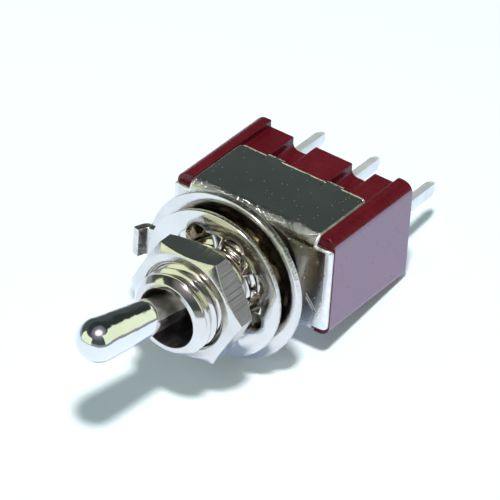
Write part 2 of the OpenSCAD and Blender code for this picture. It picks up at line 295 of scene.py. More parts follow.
def blend(tree, amount, first, second):  # sockets 6 and 7 of a Mix node are its two colours
    pair = [(*colour, 1) if isinstance(colour, tuple) else colour for colour in (first, second)]
    return addNode(tree, "Mix", {0: amount, 6: pair[0], 7: pair[1]}, data_type="RGBA").outputs[2]


def reckon(tree, operation, first, second=0):
    return addNode(tree, "Math", {0: first, 1: second}, operation=operation).outputs[0]


def past(tree, value, start, end):  # 0 before start, 1 after end
    return addNode(tree, "MapRange", {"Value": value, "From Min": start, "From Max": end},
                   interpolation_type="SMOOTHSTEP").outputs[0]


def shades(tree, amount, dark, light):
    ramp = addNode(tree, "ValToRGB", {"Fac": amount})
    ramp.color_ramp.elements[0].color = (*dark, 1)
    ramp.color_ramp.elements[1].color = (*light, 1)
    return ramp.outputs[0]


# plated finishes: each states what differs from a plain plate
plainPlate = {"metal": 1, "blotchScale": 900, "roughScale": 1500, "grainScale": 5000, "stretch": (1, 1, 1),
              "bump": 0.10, "depth": 0.00002}


def platedFinish(name, changes):
    spec = {**plainPlate, **changes}
    finish, tree, shader, place = startFinish(name, {"Metallic": spec["metal"]})
    tint = blotches(tree, place, spec["blotchScale"], 0, 1)
    colour = shades(tree, tint, spec["dark"], spec["light"])
    if "paintedShade" in spec:  # painted shade, darker towards the bore where the lock washer lies over it
        axes = addNode(tree, "SeparateXYZ", {0: place}).outputs
        squares = [reckon(tree, "MULTIPLY", axes[axis], axes[axis]) for axis in ("X", "Z")]
        radius = reckon(tree, "SQRT", reckon(tree, "ADD", squares[0], squares[1]))
        colour = blend(tree, past(tree, radius, *spec["paintedShadeAt"]), colour, spec["paintedShade"])
    tree.links.new(colour, shader.inputs["Base Color"])
    rough = blotches(tree, place, spec["roughScale"], *spec["rough"], stretch=spec["stretch"])
    tree.links.new(rough, shader.inputs["Roughness"])
    grain = blotches(tree, place, spec["grainScale"], 0, 1, detail=4, stretch=spec["stretch"])
    bump = addNode(tree, "Bump", {"Height": grain, "Strength": spec["bump"], "Distance": spec["depth"]})
    tree.links.new(bump.outputs[0], shader.inputs["Normal"])
    if "wave" in spec:  # the slow unevenness of a polished surface
        wave = blotches(tree, place, spec["wave"], 0, 1, detail=1)
        swell = addNode(tree, "Bump", {"Height": wave, "Strength": 1, "Distance": spec["waveDepth"]})
        tree.links.new(swell.outputs[0], bump.inputs["Normal"])
    return finish


leverChrome = platedFinish("leverChrome", {
    "dark": (0.67, 0.67, 0.665), "light": (0.75, 0.75, 0.745), "rough": (0.05, 0.10), "blotchScale": 400,
    "roughScale": 900, "grainScale": 1500, "stretch": (1, 0.6, 1), "wave": 700, "waveDepth": 0.00003})
bushingNickel = platedFinish("bushingNickel", {
    "dark": (0.62, 0.59, 0.53), "light": (0.72, 0.69, 0.64), "rough": (0.07, 0.14), "blotchScale": 500,
    "roughScale": 1200, "grainScale": 4000, "bump": 0.08})
nutNickel = platedFinish("nutNickel", {
    "dark": (0.61, 0.58, 0.53), "light": (0.70, 0.67, 0.62), "rough": (0.10, 0.18), "blotchScale": 600,
    "roughScale": 2600, "grainScale": 5200, "stretch": (1, 0.04, 1), "bump": 0.20, "depth": 0.00003})
washerPlate = {"dark": (0.62, 0.595, 0.55), "light": (0.71, 0.685, 0.64), "rough": (0.08, 0.16),
               "blotchScale": 350}
washerNickel = platedFinish("washerNickel", washerPlate)
# painted shade between the washers: the locating washer darkens towards its bore
keyNickel = platedFinish("keyNickel", {
    **washerPlate, "paintedShade": (0.27, 0.21, 0.135), "paintedShadeAt": (0.0056, 0.0049)})
shearedNickel = platedFinish("shearedNickel", {
    "dark": (0.54, 0.51, 0.45), "light": (0.74, 0.71, 0.66), "rough": (0.12, 0.30), "blotchScale": 1800,
    "roughScale": 4000, "grainScale": 4500, "stretch": (1, 0.35, 1), "bump": 0.75, "depth": 0.00004})
# painted shade: a dark brown nickel for the tab's inner face, the lock washer's tooth flanks and scallop
# walls, and the bottom of the ears
paintedShadeNickel = platedFinish("paintedShadeNickel", {
    "dark": (0.26, 0.22, 0.17), "light": (0.50, 0.45, 0.38), "rough": (0.18, 0.32), "blotchScale": 1200,
    "roughScale": 2500, "grainScale": 4500, "bump": 0.40, "depth": 0.00003})
# sheared burr on the frame's edges: rougher, and lighter as a painted highlight
burrAndHighlightNickel = platedFinish("burrAndHighlightNickel", {
    "dark": (0.72, 0.71, 0.68), "light": (0.86, 0.85, 0.82), "rough": (0.25, 0.45), "blotchScale": 1800,
    "roughScale": 3000, "grainScale": 7000, "bump": 0.40, "depth": 0.00003})
borePlate = {"dark": (0.68, 0.61, 0.50), "light": (0.84, 0.77, 0.66), "rough": (0.34, 0.50),
             "roughScale": 2500, "grainScale": 6000, "bump": 0.20, "depth": 0.00003}
boreNickel = platedFinish("boreNickel", borePlate)
# painted shade: a dark copy of the bore's plate, for the bore's lower half
borePaintedShade = platedFinish("borePaintedShade", {
    **borePlate, "dark": (0.11, 0.095, 0.09), "light": (0.20, 0.175, 0.165)})
terminalTin = platedFinish("terminalTin", {
    "dark": (0.72, 0.74, 0.74), "light": (0.88, 0.89, 0.89), "rough": (0.42, 0.58), "blotchScale": 700,
    "roughScale": 1800, "stretch": (1, 0.2, 1), "bump": 0.12, "metal": 0.7})
innerSteel = platedFinish("innerSteel", {
    "dark": (0.42, 0.42, 0.43), "light": (0.60, 0.60, 0.61), "rough": (0.22, 0.35), "stretch": (1, 1, 0.2)})
rockerBrass = platedFinish("rockerBrass", {
    "dark": (0.60, 0.45, 0.20), "light": (0.80, 0.64, 0.34), "rough": (0.20, 0.34), "blotchScale": 800,
    "stretch": (0.2, 1, 1)})
contactSilver = platedFinish("contactSilver", {
    "dark": (0.74, 0.73, 0.70), "light": (0.90, 0.89, 0.86), "rough": (0.20, 0.32), "grainScale": 6000})

# plated sheet of the frame, with a grainy bend, pits, a double scratch and a sheared back edge
sheetNickel = {"dark": (0.59, 0.565, 0.515), "light": (0.69, 0.665, 0.615), "rough": (0.07, 0.13),
               "blotchScale": 300, "roughScale": 2500, "grainScale": 8000,
               "plate": 0.00004, "bendFrom": 0.0010, "bendTo": 0.0007,
               "peel": 0.95, "plateGrain": 0.25, "flapGrain": 0.05, "peelDepth": 0.000025,
               "pitScale": 2200, "pitSize": 0.12, "pitRough": 0.5,
               "scratchAt": (0.00535, 0, -0.00132), "scratchTurn": 51, "scratchHalf": 0.00074,
               "scratchWidth": 0.00007, "scratchGap": 0.00019, "secondHalf": 0.65, "taper": 0.9,
               "dentDepth": 0.00009,
               "tongueAt": 0.00248, "tongueHalf": 0.00068, "tongueSoft": 0.03, "tongueOut": 0.0003,
               "backEdge": 0.00598, "burrWidth": 0.00016, "burrHeight": 0.00016, "burrRange": (0.7, 1.2)}


def sheetFinish(name, spec):
    finish, tree, shader, place = startFinish(name, {"Metallic": 1})
    tint = blotches(tree, place, spec["blotchScale"], 0, 1)
    tree.links.new(shades(tree, tint, spec["dark"], spec["light"]), shader.inputs["Base Color"])
    axes = addNode(tree, "SeparateXYZ", {0: place}).outputs
    depth = axes["Y"]
    plate = past(tree, depth, 2 * spec["plate"], spec["plate"])
    bend = reckon(tree, "SUBTRACT", past(tree, depth, spec["bendFrom"], spec["bendTo"]), plate)
    # pits that catch the light, and one double scratch on the plate
    cells = addNode(tree, "TexVoronoi", {"Vector": place, "Scale": spec["pitScale"]})
    pits = past(tree, cells.outputs["Distance"], spec["pitSize"], spec["pitSize"] / 2)
    turn = (0, math.radians(spec["scratchTurn"]), 0)
    line = addNode(tree, "Mapping", {"Vector": place, "Location": spec["scratchAt"], "Rotation": turn},
                   vector_type="TEXTURE")
    along = addNode(tree, "SeparateXYZ", {0: line.outputs[0]}).outputs
    run = reckon(tree, "ABSOLUTE", along["X"])
    scratch = 0
    for offset, share in ((0, 1), (spec["scratchGap"], spec["secondHalf"])):
        half = spec["scratchHalf"] * share
        length = past(tree, run, half, half * spec["taper"])
        across = reckon(tree, "ABSOLUTE", reckon(tree, "ADD", along["Z"], offset))
        stroke = past(tree, across, spec["scratchWidth"], spec["scratchWidth"] / 2)
        stroke = reckon(tree, "MULTIPLY", stroke, length)
        scratch = reckon(tree, "MAXIMUM", scratch, reckon(tree, "MULTIPLY", stroke, plate))
    rough = blotches(tree, place, spec["roughScale"], *spec["rough"])
    worn = reckon(tree, "MAXIMUM", pits, scratch)
    rough = reckon(tree, "ADD", rough, reckon(tree, "MULTIPLY", worn, spec["pitRough"]))
    tree.links.new(rough, shader.inputs["Roughness"])
    grain = blotches(tree, place, spec["grainScale"], 0, 1, detail=2)
    strength = reckon(tree, "ADD", reckon(tree, "MULTIPLY", bend, spec["peel"]), spec["flapGrain"])
    strength = reckon(tree, "ADD", reckon(tree, "MULTIPLY", plate, spec["plateGrain"]), strength)
    dents = reckon(tree, "MAXIMUM", scratch, reckon(tree, "MULTIPLY", pits, plate))
    groove = addNode(tree, "Bump", {"Height": dents, "Strength": 1, "Distance": spec["dentDepth"]},
                     invert=True)
    # the burr that shearing leaves along the back edge, further out on the tongues
    aside = reckon(tree, "SUBTRACT", reckon(tree, "ABSOLUTE", axes["X"]), spec["tongueAt"])
    aside = reckon(tree, "ABSOLUTE", aside)
    onTongue = past(tree, aside, spec["tongueHalf"] * (1 + spec["tongueSoft"]),
                    spec["tongueHalf"] * (1 - spec["tongueSoft"]))
    edge = reckon(tree, "ADD", reckon(tree, "MULTIPLY", onTongue, spec["tongueOut"]), spec["backEdge"])
    burr = past(tree, depth, reckon(tree, "SUBTRACT", edge, spec["burrWidth"]), edge)
    burr = reckon(tree, "MULTIPLY", burr, blotches(tree, place, spec["roughScale"], *spec["burrRange"]))
    ridge = addNode(tree, "Bump", {"Height": burr, "Strength": 1, "Distance": spec["burrHeight"],
                                   "Normal": groove.outputs[0]})
    bump = addNode(tree, "Bump", {"Height": grain, "Strength": strength, "Distance": spec["peelDepth"],
                                  "Normal": ridge.outputs[0]})
    tree.links.new(bump.outputs[0], shader.inputs["Normal"])
    return finish


frameNickel = sheetFinish("frameNickel", sheetNickel)

# moulded plastics
plainMould = {"blotchScale": 420, "roughScale": 1600, "skin": 0.12, "skinScale": 7000, "skinDepth": 0.00002}
caseColours = {"deep": (0.088, 0.0026, 0.0062), "warm": (0.122, 0.0052, 0.0110), "rough": (0.22, 0.32)}


def mouldedFinish(name, changes, sockets):
    spec = {**plainMould, **changes}
    finish, tree, shader, place = startFinish(name, sockets)
    tint = blotches(tree, place, spec["blotchScale"], 0, 1)
    tree.links.new(shades(tree, tint, spec["deep"], spec["warm"]), shader.inputs["Base Color"])
    tree.links.new(blotches(tree, place, spec["roughScale"], *spec["rough"]), shader.inputs["Roughness"])
    skin = blotches(tree, place, spec["skinScale"], 0, 1, detail=2)
    bump = addNode(tree, "Bump", {"Height": skin, "Strength": spec["skin"], "Distance": spec["skinDepth"]})
    tree.links.new(bump.outputs[0], shader.inputs["Normal"])
    return finish


# the bluish specular tint of both case finishes is a painted tint on their reflections
casePlastic = mouldedFinish("casePlastic", caseColours, {
    "IOR": 1.5, "Specular IOR Level": 0.38, "Specular Tint": (0.9, 0.92, 1.0, 1)})
casePaintedSheen = mouldedFinish("casePaintedSheen", {**caseColours, "rough": (0.22, 0.28), "skin": 0.04}, {
    "IOR": 1.9, "Specular IOR Level": 0.95, "Specular Tint": (0.80, 0.80, 1.0, 1)})
plungerPlastic = mouldedFinish("plungerPlastic", {
    "deep": (0.62, 0.58, 0.48), "warm": (0.78, 0.74, 0.64), "rough": (0.40, 0.55)}, {"IOR": 1.48})
print("stage: finishes made")

# moulded case, its inner edges left sharp and its two end faces given a painted sheen: a stronger, bluish
# reflection
caseShell = {"edge": 0.07, "segments": 3, "endFace": 6.5, "insideX": 5.6, "insideZ": 3.2, "insideY": 9.0}
piece = easedCopy("case", "caseShell", caseShell["edge"], caseShell["segments"],
                  lambda spot: abs(spot.x) < caseShell["insideX"] and abs(spot.z) < caseShell["insideZ"]
                  and spot.y < caseShell["insideY"])
dress(piece, casePlastic, "base", "case")
# painted sheen on the two end faces
addFinish(piece, casePaintedSheen, lambda face: abs(face.normal.x) > facing
          and abs(face.center.x) > caseShell["endFace"] * mm)

# blade pins, eased only where they stand out of the case
bladePins = {"edge": 0.05, "segments": 2, "inside": 9.4}
for nodeName, name in (("left_terminal", "leftPin"), ("common_terminal", "commonPin"),
                       ("right_terminal", "rightPin")):
    piece = easedCopy(nodeName, name, bladePins["edge"], bladePins["segments"],
                      lambda spot: spot.y < bladePins["inside"])
    dress(piece, terminalTin, "base", nodeName)
print("stage: case and pins eased")

# folded frame: a channel of sheet with two ears, and four tongues bent in from the flaps' back edges
fold = {"halfLength": 5.33, "outside": 3.92, "depth": 6.1, "sheet": 0.5, "bend": 0.9, "bendSteps": 10,
        "flapCorner": 0.5, "flapSteps": 6, "edge": 0.18, "edgeSteps": 3, "edgeAngle": 40, "bore": 2.72,
        "earReach": 1.27, "earLap": 0.4, "earSide": 3.25, "earCorner": 0.3, "earSteps": 5,
        "rollFrom": 5.55, "rollStep": 0.15, "rollCuts": 6, "rollDepth": 0.15,
        "tongueX": 2.48, "tongueWidth": 1.35, "tongueRoot": 0.8, "tongueOut": 0.3, "tongueIn": 0.16,
        "tongueEdge": 0.03, "tongueAngle": 30, "slit": 0.008, "slotSpare": 1, "lap": 0.15, "shrink": 0.03,
        "edgeBand": 0.2, "edgeFacing": 0.985}
sheet = addPrimitive("cube", "sheet", size=1, location=(0, 0, -fold["depth"] / 2),
                     scale=(2 * fold["halfLength"], 2 * fold["outside"], fold["depth"]))
applyPlace(sheet)
selectIn(sheet, "FACE", lambda face: face.normal.z < -facing or abs(face.normal.x) > facing)
bpy.ops.mesh.delete(type="FACE")
selectIn(sheet, "EDGE", lambda edge: all(vert.co.z > -near for vert in edge.verts) and staysAtY(edge))
bpy.ops.mesh.bevel(offset=fold["bend"], segments=fold["bendSteps"], affect="EDGES")
selectIn(sheet, "VERT", lambda vert: vert.co.z < near - fold["depth"])
bpy.ops.mesh.bevel(offset=fold["flapCorner"], segments=fold["flapSteps"], affect="VERTICES")
modify(sheet, "SOLIDIFY", thickness=fold["sheet"], offset=-1, use_even_offset=True)
selectIn(sheet, "EDGE", lambda edge: isSharp(edge, fold["edgeAngle"]))
bpy.ops.mesh.bevel(offset=fold["edge"], segments=fold["edgeSteps"], affect="EDGES")
bpy.ops.mesh.select_mode(type="VERT")
mend(sheet)
earMiddle = fold["halfLength"] + (fold["earReach"] - fold["earLap"]) / 2
rollLength = fold["halfLength"] + fold["earReach"] - fold["rollFrom"]
for side in (-1, 1):
    ear = addPrimitive("cube", "ear", size=1, location=(side * earMiddle, 0, -fold["sheet"] / 2),
                       scale=(fold["earReach"] + fold["earLap"], 2 * fold["earSide"], fold["sheet"]))
    applyPlace(ear)
    selectIn(ear, "EDGE", lambda edge: all(side * vert.co.x > fold["halfLength"] for vert in edge.verts)
             and staysAtY(edge))
    bpy.ops.mesh.bevel(offset=fold["earCorner"], segments=fold["earSteps"], affect="EDGES")
    selectIn(ear, "EDGE", lambda edge: any(side * vert.co.x > fold["halfLength"] for vert in edge.verts)
             and isSharp(edge, fold["edgeAngle"]))
    bpy.ops.mesh.bevel(offset=fold["edge"], segments=fold["edgeSteps"], affect="EDGES")
    bpy.ops.mesh.select_mode(type="VERT")
    for i in range(fold["rollCuts"]):
        sliceAt(ear, (side * (fold["rollFrom"] + i * fold["rollStep"]), 0, 0), (1, 0, 0))
    mend(ear)
    for vertex in ear.data.vertices:  # shearing rolls the front of the ear's end back
        share = max(0, abs(vertex.co.x) - fold["rollFrom"]) / rollLength
        vertex.co.z -= fold["rollDepth"] * share ** 2 * (1 + vertex.co.z / fold["sheet"])
    cut(sheet, ear, "UNION")
mend(sheet)
boreTool = addPrimitive("cylinder", "boreTool", vertices=common["latheSteps"], radius=fold["bore"],
                        depth=toolDepth)
cut(sheet, boreTool)
for x in (-fold["tongueX"], fold["tongueX"]):
    slotTool = addPrimitive("cube", "slotTool", size=1,
                            location=(x, 0, (fold["tongueRoot"] - fold["slotSpare"]) / 2 - fold["depth"]),
                            scale=(fold["tongueWidth"] + 2 * fold["slit"], 3 * fold["outside"],
                                   fold["tongueRoot"] + fold["slotSpare"]))
    cut(sheet, slotTool)
mend(sheet)
outside = fold["outside"]
inside = outside - fold["sheet"]
root = fold["tongueRoot"] - fold["depth"]
tip = -fold["depth"] - fold["tongueOut"]
lapEnd = (inside + fold["shrink"], root + fold["lap"])
tongue = drawProfile("tongue", [
    lapEnd, (outside - fold["shrink"], root + fold["lap"]), (outside, root),
    (outside - fold["tongueIn"], tip), (inside - fold["tongueIn"], tip), (inside, root), lapEnd])
mend(tongue)
editAll(tongue)
bpy.ops.mesh.edge_face_add()
bpy.ops.mesh.extrude_region_move(TRANSFORM_OT_translate={"value": (0, fold["tongueWidth"], 0)})
bpy.ops.mesh.select_all(action="SELECT")
bpy.ops.transform.translate(value=(0, -fold["tongueWidth"] / 2, 0))
mend(tongue)
easeEdges(tongue, fold["tongueEdge"], angle=fold["tongueAngle"])
tongues = []
for x in (-fold["tongueX"], fold["tongueX"]):
    for turn in (90, 270):
        copy = copyOf(tongue)
        copy.location.x = x
        copy.rotation_euler.z = math.radians(turn)
        applyPlace(copy)
        tongues.append(copy)
bpy.data.objects.remove(tongue)
piece = joinAll("foldedFrame", [sheet] + tongues)
layOver(piece)
dress(piece, frameNickel, "base", "frame")


def onEar(face):
    return abs(face.center.x) > (fold["halfLength"] - fold["edgeBand"]) * mm


def byBackEdge(face):
    return face.center.y > (fold["depth"] - fold["edgeBand"]) * mm


# painted highlight on the edge faces by the back edges and on the ears, with the burr's roughness
addFinish(piece, burrAndHighlightNickel, lambda face: max(abs(share) for share in face.normal) < fold["edgeFacing"]
          and (byBackEdge(face) or onEar(face)))
# painted shade along the bottom of the ears
addFinish(piece, paintedShadeNickel, lambda face: face.center.z < -(fold["earSide"] + near) * mm and onEar(face))
print("stage: frame folded")

# threaded bushing, with slots for the pivot pin
bush = {"length": 9.3, "mouth": 2.212, "rim": 2.592, "crest": 3.0, "root": 2.62, "leadIn": 0.45,
        "land": 0.1, "runOut": 0.32, "collar": 0.1, "collarRun": 0.3, "tenon": 2.70, "swage": 3.0,
        "plateBack": -0.52, "swageBack": -0.82, "tailMouth": 2.40, "throat": 2.0, "throatLow": 4.65,
        "throatHigh": 6.15, "edge": 0.07, "edgeSteps": 3, "edgeAngle": 20, "pivot": 5.4, "slot": 1.0,
        "slotLength": 5.0, "slotSteps": 32, "slotSpare": 1, "boreLean": 0.1}
threadTop = bush["length"] - bush["leadIn"]
core = turnOnLathe("bushingCore", [
    (bush["mouth"], bush["length"]), (bush["rim"], bush["length"]), (bush["crest"], threadTop),
    (bush["crest"], threadTop - bush["land"]), (bush["root"], threadTop - bush["runOut"]),
    (bush["root"], bush["collarRun"]), (bush["crest"], bush["collar"]), (bush["crest"], 0),
    (bush["tenon"], 0), (bush["tenon"], bush["plateBack"]), (bush["swage"], bush["plateBack"]),
    (bush["swage"], bush["swageBack"]), (bush["tailMouth"], bush["swageBack"]),
    (bush["throat"], bush["throatLow"]), (bush["throat"], bush["throatHigh"]),
    (bush["mouth"], bush["length"])])
easeEdges(core, bush["edge"], bush["edgeSteps"], bush["edgeAngle"])
slotTool = addPrimitive("cylinder", "slotTool", radius=bush["slot"] / 2, depth=bush["slotLength"],
                        vertices=bush["slotSteps"], location=(0, 0, bush["pivot"]),
                        rotation=(math.pi / 2, 0, 0))
cut(core, slotTool)
slotTool = addPrimitive("cube", "slotTool", size=1, location=(0, 0, (bush["pivot"] - bush["slotSpare"]) / 2),
                        scale=(bush["slot"], bush["slotLength"], bush["pivot"] + bush["slotSpare"]))
cut(core, slotTool)

thread = {"pitch": 0.75, "crestWidth": 0.12, "start": -0.63, "turns": 13, "steps": 96, "sink": 0.1,
          "rootGap": 0.06, "low": 0.35, "topGap": 0.12, "edge": 0.035, "edgeAngle": 25}
half = thread["pitch"] / 2 - thread["rootGap"]
sunk = bush["root"] - thread["sink"]
ridge = drawProfile("threadRidge", [
    (sunk, -half), (bush["root"], -half), (bush["crest"], -thread["crestWidth"] / 2),
    (bush["crest"], thread["crestWidth"] / 2), (bush["root"], half), (sunk, half), (sunk, -half)])
ridge.location.z = thread["start"]
applyPlace(ridge)
mend(ridge)
modify(ridge, "SCREW", axis="Z", angle=2 * math.pi, screw_offset=thread["pitch"],
       iterations=thread["turns"], steps=thread["steps"], render_steps=thread["steps"],
       use_merge_vertices=False)
mend(ridge)
for height, keepBelow in ((thread["low"], False), (threadTop - thread["topGap"], True)):
    sliceAt(ridge, (0, 0, height), (0, 0, 1), use_fill=True, clear_inner=not keepBelow,
            clear_outer=keepBelow)
mend(ridge)
easeEdges(ridge, thread["edge"], angle=thread["edgeAngle"])
piece = joinAll("threadedBushing", [core, ridge])
layOver(piece)
dress(piece, bushingNickel, "base", "bushing")


def inBore(face):
    outward = (face.normal.x * face.center.x + face.normal.z * face.center.z) / mm
    return outward < -bush["boreLean"] and fromAxis(face) < bush["root"]


addFinish(piece, boreNickel, inBore)
# painted shade on the lower half of the bore
addFinish(piece, borePaintedShade, lambda face: inBore(face) and face.center.z < 0)
print("stage: bushing turned and threaded")

# two hexagon nuts, chamfered on both sides
hexNut = {"flats": 8, "thick": 2.05, "face": 3.85, "chamfer": 30, "chamferSteps": 144, "bore": 3.02,
          "sink": 0.3, "edge": 0.05, "edgeAngle": 18, "smoothAngle": 25, "frontTurn": 2, "rearTurn": 20,
          "runSpare": 0.1, "faceSpare": 0.001, "holeSpare": 1}


def makeNut(name, back, turn):
    thick, face, bore, sink = [hexNut[key] for key in ("thick", "face", "bore", "sink")]
    corner = hexNut["flats"] / 2 / math.cos(math.pi / 6)
    run = corner - face + hexNut["runSpare"]
    rise = run * math.tan(math.radians(hexNut["chamfer"]))
    low, high = -hexNut["faceSpare"], thick + hexNut["faceSpare"]
    nut = addPrimitive("cylinder", name, vertices=6, radius=corner, depth=thick,
                       location=(0, 0, thick / 2), rotation=(0, 0, math.radians(turn - 90)))
    applyPlace(nut)
    chamfer = turnOnLathe("chamferTool", [
        (0, low), (face, low), (face + run, rise), (face + run, thick - rise), (face, high), (0, high)],
        hexNut["chamferSteps"])
    cut(nut, chamfer, "INTERSECT")
    wide = bore + sink + hexNut["holeSpare"]
    low, high = -hexNut["holeSpare"], thick + hexNut["holeSpare"]
    hole = turnOnLathe("holeTool", [
        (0, low), (wide, low), (bore, sink), (bore, thick - sink), (wide, high), (0, high)])
    cut(nut, hole)
    mend(nut)
    easeEdges(nut, hexNut["edge"], angle=hexNut["edgeAngle"])
    nut.location.z = back
    layOver(nut, hexNut["smoothAngle"])
    return nut


piece = makeNut("frontNut", span("front_nut")[0], hexNut["frontTurn"])
dress(piece, nutNickel, "base", "front_nut")
piece = makeNut("rearNut", span("rear_nut")[0], hexNut["rearTurn"])
dress(piece, nutNickel, "base", "rear_nut")
print("stage: nuts made")

# locating washer with its tab spun forward
washer = {"radius": 6.25, "thick": 0.6, "bore": 3.1, "edge": 0.08, "edgeSteps": 3, "shear": 0.05,
          "tabWidth": 2.2, "bendRadius": 0.2, "bend": 72, "bendSteps": 12, "tip": 0.6,
          "reliefWidth": 0.4, "reliefLength": 0.6, "tabBand": 0.05, "tabFacing": 0.25, "tipFacing": 0.7,
          "rimBand": 0.12, "rimFacing": 0.5}
piece = pressedRing("locatingWasher", washer["radius"], washer["bore"], washer["thick"], washer["edge"],
                    washer["shear"])
reliefY = (washer["tabWidth"] + washer["reliefWidth"]) / 2
for side in (-1, 1):
    reliefTool = addPrimitive("cube", "reliefTool", size=1, location=(-washer["radius"], side * reliefY, 0),
                              scale=(2 * washer["reliefLength"], washer["reliefWidth"], toolDepth))
    cut(piece, reliefTool)
tab = addPrimitive("cube", "tab", size=1,
                   location=(washer["reliefLength"] / 2 - washer["radius"], 0, washer["thick"] / 2),
                   scale=(washer["reliefLength"], washer["tabWidth"], washer["thick"]))
applyPlace(tab)
selectIn(tab, "FACE", lambda face: face.normal.x < -facing)
bendAngle = math.radians(washer["bend"])
bpy.ops.mesh.spin(steps=washer["bendSteps"], angle=-bendAngle, axis=(0, 1, 0),
                  center=(-washer["radius"], 0, washer["thick"] + washer["bendRadius"]))
bpy.ops.mesh.extrude_region_move(TRANSFORM_OT_translate={
    "value": (-washer["tip"] * math.cos(bendAngle), 0, washer["tip"] * math.sin(bendAngle))})
bpy.ops.mesh.select_mode(type="VERT")
mend(tab)
easeEdges(tab, washer["edge"], washer["edgeSteps"])
cut(piece, tab, "UNION")
mend(piece)
piece.location.z = span("locating_washer")[0]
layOver(piece)
dress(piece, keyNickel, "base", "locating_washer")


def onTip(face):
    beyond = face.center.x < -(washer["radius"] + washer["tip"] / 2) * mm
    return beyond and face.normal.y < -washer["tipFacing"]


def onRim(face, spec):
    return fromAxis(face) > spec["radius"] - spec["rimBand"] and abs(face.normal.y) < spec["rimFacing"]


# painted shade on the tab's inner face
addFinish(piece, paintedShadeNickel, lambda face: face.center.x < (washer["tabBand"] - washer["radius"]) * mm
          and face.normal.x > washer["tabFacing"])
addFinish(piece, shearedNickel, lambda face: onTip(face) or onRim(face, washer))
print("stage: locating washer made")

# lock washer: a pressed ring with twisted inner teeth
lock = {"radius": 5.5, "ring": 3.9, "thick": 0.4, "edge": 0.06, "edgeSteps": 3, "edgeAngle": 60,
        "shear": 0.04, "scallop": 0.85, "scallopIn": 0.3, "scallopSteps": 40, "teeth": 8, "tip": 3.1,
        "toothWidth": 1.3, "rootOverlap": 0.2, "rootTwist": 6, "tipTwist": 45, "slices": 8,
        "toothBand": 0.7, "toothFacing": 0.55, "rimBand": 0.12, "rimFacing": 0.5}
ring = pressedRing("lockRing", lock["radius"], lock["ring"], lock["thick"], lock["edge"], lock["shear"])
ring.location.z = -lock["thick"] / 2
applyPlace(ring)
scallopAt = lock["ring"] - lock["scallopIn"]
for i in range(lock["teeth"]):
    turn = 2 * math.pi * (i + 0.5) / lock["teeth"]  # halfway between two teeth
    scallopTool = addPrimitive("cylinder", "scallopTool", vertices=lock["scallopSteps"],
                               radius=lock["scallop"], depth=toolDepth,
                               location=(scallopAt * math.cos(turn), scallopAt * math.sin(turn), 0))
    cut(ring, scallopTool)
mend(ring)
easeEdges(ring, lock["edge"], lock["edgeSteps"], lock["edgeAngle"])
toothLength = lock["ring"] + lock["rootOverlap"] - lock["tip"]
tooth = addPrimitive("cube", "tooth", size=1, scale=(toothLength, lock["toothWidth"], lock["thick"]))
applyPlace(tooth)
easeEdges(tooth, lock["edge"])
for i in range(1, lock["slices"]):
    sliceAt(tooth, (toothLength * (i / lock["slices"] - 0.5), 0, 0), (1, 0, 0))
for vertex in tooth.data.vertices:  # the twist grows from the ring to the tip
    inward = 0.5 - vertex.co.x / toothLength
    twist = -math.radians(lock["rootTwist"] + (lock["tipTwist"] - lock["rootTwist"]) * inward)
    vertex.co = Matrix.Rotation(twist, 3, "X") @ vertex.co
toothAt = lock["tip"] + toothLength / 2
teeth = []
for i in range(lock["teeth"]):
    copy = copyOf(tooth)
    turn = 2 * math.pi * i / lock["teeth"]
    copy.location = (toothAt * math.cos(turn), toothAt * math.sin(turn), 0)
    copy.rotation_euler = (0, 0, turn)
    applyPlace(copy)
    teeth.append(copy)
bpy.data.objects.remove(tooth)
piece = joinAll("lockWasher", [ring] + teeth)
piece.location.z = sum(span("lock_washer")) / 2
layOver(piece)
dress(piece, washerNickel, "base", "lock_washer")
# painted shade on the tooth flanks and scallop walls
addFinish(piece, paintedShadeNickel, lambda face: fromAxis(face) < lock["ring"] + lock["toothBand"]
          and abs(face.normal.y) < lock["toothFacing"])
addFinish(piece, shearedNickel, lambda face: onRim(face, lock))
print("stage: lock washer made")

# bat lever, turned in one with its ball and hollow tail
bat = {"pivot": 5.4, "tilt": 12.5, "domeCentre": 8.95, "domeRadius": 1.55, "neck": 0.95, "neckEnd": 1.65,
       "ball": 1.95, "tail": 0.9, "tailLength": 8.6, "bore": 0.62, "boreLength": 5.2, "pinHole": 0.47,
       "pinSteps": 48, "pinDepth": 5, "arcSteps": 24, "latheSteps": 144}
slope = (bat["domeRadius"] - bat["neck"]) / bat["domeCentre"]
neckAngle = math.degrees(math.acos((bat["neck"] + slope * bat["neckEnd"]) / bat["ball"]))
tailAngle = math.degrees(math.acos(bat["tail"] / bat["ball"]))
boreEnd = bat["boreLength"] - bat["tailLength"]
points = roundPoints(0, bat["domeCentre"], bat["domeRadius"], 90, 0, bat["arcSteps"])
points += roundPoints(0, 0, bat["ball"], neckAngle, -tailAngle, bat["arcSteps"])
points += [(bat["tail"], -bat["tailLength"]), (bat["bore"], -bat["tailLength"]), (bat["bore"], boreEnd),
           (0, boreEnd)]
piece = turnOnLathe("batLever", points, bat["latheSteps"])
pinTool = addPrimitive("cylinder", "pinTool", vertices=bat["pinSteps"], radius=bat["pinHole"],
                       depth=bat["pinDepth"], rotation=(math.pi / 2, 0, 0))
cut(piece, pinTool)
tilt = math.radians(bat["tilt"])
leverPlace = Matrix.Translation((0, 0, bat["pivot"])) @ Matrix.Rotation(-tilt, 4, "Y")
piece.matrix_world = leverPlace
layOver(piece)
dress(piece, leverChrome, "lever", "toggle_lever")
print("stage: lever turned")

